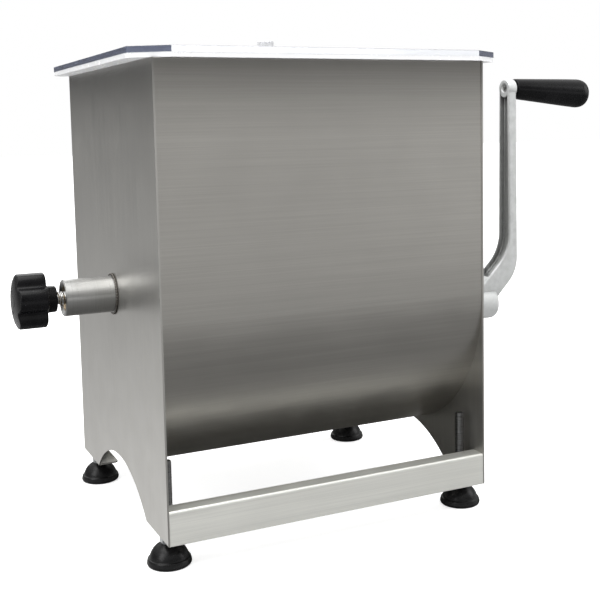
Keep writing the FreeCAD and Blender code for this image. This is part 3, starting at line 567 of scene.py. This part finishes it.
# ------------------------------------------------------------------ threads
def thread(name, origin, axis, t0, t1, rmaj, rmin, pitch, seg=40, plain=(), flat=0.25):
    """A screwed rod from t0 to t1; plain = [(t, r)] rings added after it."""
    steps = 8
    rings = [(t0, 0.0), (t0, lambda a: rmin * 0.96)]
    n = int(round((t1 - t0) / pitch * steps))
    lead = 0.6 * pitch

    def prof(ph, t):
        ph = ph % 1.0
        h = 0.5 - 0.5 * math.cos(2 * math.pi * ph)
        h = min(1.0, max(0.0, (h - flat * 0.5) / (1 - flat)))
        fade = min(1.0, (t - t0) / lead, (t1 - t) / lead)
        return rmin + (rmaj - rmin) * h * max(0.0, fade)
    for i in range(n + 1):
        t = t0 + (t1 - t0) * i / n
        rings.append((t, lambda a, t=t: prof(t / pitch - a / (2 * math.pi), t)))
    rings += [(t1, rmin * 0.96)] if not plain else []
    rings += list(plain)
    if not plain:
        rings.append((t1, 0.0))
    return rings_mesh(name, rings, origin, axis, seg=seg, close=(False, False), sharp=60)


slo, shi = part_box("foot_studs")
parts = []
for sx in (slo.x + 0.004, shi.x - 0.004):
    for sy in (slo.y + 0.004, shi.y - 0.004):
        parts.append(thread("stud", Vector((sx, sy, 0)), "Z", slo.z + 0.0005, shi.z, 0.0040, 0.00338, 0.00125))
ctx = bpy.context
for o in ctx.selected_objects:
    o.select_set(False)
with ctx.temp_override(active_object=parts[0], selected_editable_objects=parts, selected_objects=parts):
    bpy.ops.object.join()
parts[0].name = "foot_studs_threaded"
# the threaded studs take the darkened steel, a painted shade for the space under the tank
piece(parts[0], "foot_studs", MAT["stud_painted_shade"])

# Locking screw: plain in the knob, threaded between knob and bush, grooved tip.
plo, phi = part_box("lock_spindle")
xa, xb = plo.x, phi.x
tlo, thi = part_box("left_bearing_tube")
tail = [(xb - 0.0115, 0.0052), (xb - 0.0098, 0.0052), (xb - 0.0098, 0.0050), (xb - 0.0069, 0.0050),
        (xb - 0.0069, 0.00355), (xb - 0.0045, 0.00355), (xb - 0.0045, 0.0050), (xb - 0.0006, 0.0050),
        (xb, 0.0044), (xb, 0.0)]
sp = thread("lock_screw_threaded", Vector((0, 0, PADDLE.z)), "X", xa, xb - 0.0118, 0.0060, 0.0050, 0.003,
            seg=48, plain=tail, flat=0.5)
piece(sp, "lock_spindle", MAT["turned_steel"])

# --------------------------------------------------------------- weld bead
R0, r0 = 0.0172, 0.0013
verts, faces = [], []
NS, NT = 288, 12
for i in range(NS):
    a = 2 * math.pi * i / NS
    rip = 1 + 0.13 * math.sin(a * 46) + 0.05 * math.sin(a * 7 + 1)
    for j in range(NT):
        b = 2 * math.pi * j / NT
        rr = R0 + r0 * rip * math.cos(b) * 0.95
        verts.append(Vector((thi.x - 0.0035 - 0.0009 + r0 * rip * math.sin(b) * 0.75, rr * math.cos(a),
                             PADDLE.z + rr * math.sin(a))))
for i in range(NS):
    for j in range(NT):
        k, l = (i + 1) % NS, (j + 1) % NT
        faces.append((i * NT + j, i * NT + l, k * NT + l, k * NT + j))
bead = mesh_obj("tube_weld_bead", verts, faces, 60)
piece(bead, "left_bearing_tube", MAT["weld"], replace=False)

# ------------------------------------------------------------ light and room
scene = bpy.context.scene
world = bpy.data.worlds.new("studio")
scene.world = world
world.use_nodes = True
wt = world.node_tree
wt.nodes.clear()
wo = wt.nodes.new("ShaderNodeOutputWorld")
bg = wt.nodes.new("ShaderNodeBackground")
cam_bg = wt.nodes.new("ShaderNodeBackground")
cam_bg.inputs[0].default_value = (1, 1, 1, 1)
cam_bg.inputs[1].default_value = 1.0
lp = wt.nodes.new("ShaderNodeLightPath")
mx = wt.nodes.new("ShaderNodeMixShader")
tc = wt.nodes.new("ShaderNodeTexCoord")
sep = wt.nodes.new("ShaderNodeSeparateXYZ")
wt.links.new(tc.outputs["Generated"], sep.inputs[0])


def ramp(src, lo, hi, stops):
    mr = wt.nodes.new("ShaderNodeMapRange")
    mr.inputs[1].default_value, mr.inputs[2].default_value = lo, hi
    wt.links.new(src, mr.inputs[0])
    cr = wt.nodes.new("ShaderNodeValToRGB")
    el = cr.color_ramp.elements
    while len(el) > 1:
        el.remove(el[-1])
    for i, (p, v) in enumerate(stops):
        e = el[0] if i == 0 else el.new((p - lo) / (hi - lo))
        e.position = (p - lo) / (hi - lo)
        e.color = (v, v, v, 1) if isinstance(v, (int, float)) else v + (1,)
    wt.links.new(mr.outputs[0], cr.inputs[0])
    return cr.outputs[0]


front = ramp(sep.outputs["Z"], -1, 1, [(-1, 0.20), (-0.7, 0.28), (-0.45, 0.33), (-0.30, 0.27), (-0.18, 0.29),
                                       (-0.11, 0.76), (-0.04, 1.16), (0.03, 1.14), (0.08, 0.54), (0.13, 0.19), (0.20, 0.18), (0.36, 0.42),
                                       (0.60, 0.9), (1, 1.2)])
back = ramp(sep.outputs["Z"], -1, 1, [(-1, 0.14), (-0.75, 0.20), (-0.55, 0.55), (-0.42, 1.0), (-0.36, 1.1), (-0.30, 0.95), (-0.20, 0.62),
                                      (-0.10, 0.44), (0.0, 0.30), (0.08, 0.16), (0.2, 0.22), (0.5, 0.8), (1, 1.2)])
# darker surroundings low on the right, only for reflections
back_r = ramp(sep.outputs["Z"], -1, 1, [(-1, 0.12), (-0.6, 0.18), (-0.3, 0.26), (0.0, 0.30), (0.08, 0.16), (0.2, 0.22),
                                        (0.5, 0.8), (1, 1.2)])
turn = ramp(sep.outputs["X"], -0.1, 0.15, [(-0.1, 0.0), (0.15, 1.0)])
mixb = wt.nodes.new("ShaderNodeMix")
mixb.data_type = "RGBA"
wt.links.new(turn, mixb.inputs[0])
wt.links.new(back, mixb.inputs[6])
wt.links.new(back_r, mixb.inputs[7])
back = mixb.outputs[2]
side = ramp(sep.outputs["Y"], -0.2, 0.6, [(-0.2, 0.0), (0.2, 0.3), (0.6, 1.0)])
mixc = wt.nodes.new("ShaderNodeMix")
mixc.data_type = "RGBA"
wt.links.new(side, mixc.inputs[0])
wt.links.new(front, mixc.inputs[6])
wt.links.new(back, mixc.inputs[7])
wt.links.new(mixc.outputs[2], bg.inputs[0])
bg.inputs[1].default_value = 1.0
wt.links.new(lp.outputs["Is Camera Ray"], mx.inputs[0])
wt.links.new(bg.outputs[0], mx.inputs[1])
wt.links.new(cam_bg.outputs[0], mx.inputs[2])
wt.links.new(mx.outputs[0], wo.inputs[0])

# pale floor
S = 14.0
me = bpy.data.meshes.new("floor")
me.from_pydata([(-S, -S, -0.0002), (S, -S, -0.0002), (S, S, -0.0002), (-S, S, -0.0002)], [], [(0, 1, 2, 3)])
floor = bpy.data.objects.new("floor", me)
scene.collection.objects.link(floor)
fm = Mat("pale_floor").set(Metallic=0.0, Specular_IOR_Level=0.1, Emission_Strength=0.75)
fn = fm.noise(fm.mapping((2.5, 2.5, 2.5)), detail=3)
fc = fm.mix(fn, (0.93, 0.93, 0.93), (0.96, 0.96, 0.96))
fm.link(fc, fm.b.inputs["Base Color"])
fm.link(fc, fm.b.inputs["Emission Color"])
fm.link(fm.range(fn, 0.3, 0.7, 0.75, 0.85), fm.b.inputs["Roughness"])
floor.data.materials.append(fm.m)
floor.visible_glossy = False

# Under the tank the floor is in deep shade: a dark card that only reflections see.
tlo_, thi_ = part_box("left_end_panel")[0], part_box("right_end_panel")[1]
me = bpy.data.meshes.new("shade_card")
cx0, cx1, cy0, cy1 = tlo_.x + 0.004, thi_.x + 0.03, tlo_.y + 0.012, thi_.y + 0.10
me.from_pydata([(cx0, cy0, 0.0003), (cx1, cy0, 0.0003), (cx1, cy1, 0.0003), (cx0, cy1, 0.0003)], [], [(0, 1, 2, 3)])
card = bpy.data.objects.new("shade_card", me)
scene.collection.objects.link(card)
cm_ = Mat("shade_card").set(Metallic=0.0, Specular_IOR_Level=0.0, Roughness=0.9, Emission_Strength=1.0)
cn = cm_.noise(cm_.mapping((9, 9, 9)), detail=3)
cm_.link(cm_.mix(cn, (0.03, 0.03, 0.028), (0.07, 0.068, 0.06)), cm_.b.inputs["Base Color"])
cm_.link(cm_.mix(cn, (0.018, 0.018, 0.017), (0.04, 0.039, 0.036)), cm_.b.inputs["Emission Color"])
card.data.materials.append(cm_.m)
card.visible_camera = False
card.visible_diffuse = False
card.visible_shadow = False
card.visible_transmission = False


def area(name, loc, target, size, power, size_y=None, color=(1, 1, 1), glossy=True):
    d = bpy.data.lights.new(name, "AREA")
    d.shape = "RECTANGLE"
    d.size = size
    d.size_y = size_y or size
    d.energy = power
    d.color = color
    o = bpy.data.objects.new(name, d)
    o.location = loc
    o.rotation_euler = (Vector(target) - Vector(loc)).to_track_quat("-Z", "Y").to_euler()
    scene.collection.objects.link(o)
    o.visible_glossy = glossy
    o.visible_camera = False
    return o


area("top_softbox", (XC - 0.3, -0.2, 2.3), (XC, 0, 0.2), 2.6, 46, 2.2)
area("left_softbox", (XC - 2.2, -0.9, 1.5), (XC, 0, 0.2), 1.3, 22, 1.6)
area("right_fill", (XC + 2.3, -1.0, 1.2), (XC, 0, 0.25), 1.4, 14, 1.4)
area("back_fill", (XC + 0.3, 2.6, 1.6), (XC, 0, 0.2), 2.2, 16, 1.6)

# -------------------------------------------------------------------- camera
yaw, pitch, roll = 0.4516, -0.0948, -0.0192
f = Vector((math.sin(yaw) * math.cos(pitch), math.cos(yaw) * math.cos(pitch), math.sin(pitch)))
r = Vector((math.cos(yaw), -math.sin(yaw), 0))
u = r.cross(f)
r2 = r * math.cos(roll) + u * math.sin(roll)
u2 = -r * math.sin(roll) + u * math.cos(roll)
cam_d = bpy.data.cameras.new("camera")
cam_d.sensor_width = 36.0
cam_d.lens = 1024.01 / 600.0 * 36.0
cam_d.shift_x = (300 - 320.93) / 600.0
cam_d.shift_y = (223.72 - 300) / 600.0
cam_d.clip_start = 0.01
cam_d.clip_end = 60
cam = bpy.data.objects.new("camera", cam_d)
M = Matrix.Identity(4)
for i in range(3):
    M[i][0], M[i][1], M[i][2] = r2[i], u2[i], -f[i]
M.translation = Vector((XC - 0.15 - 0.22725, -0.1425 - 0.75471, 0.35289))
cam.matrix_world = M
scene.collection.objects.link(cam)
scene.camera = cam
scene.view_settings.view_transform = "Standard"
scene.view_settings.look = "None"
scene.cycles.max_bounces = 12
scene.cycles.transmission_bounces = 10
scene.cycles.transparent_max_bounces = 12
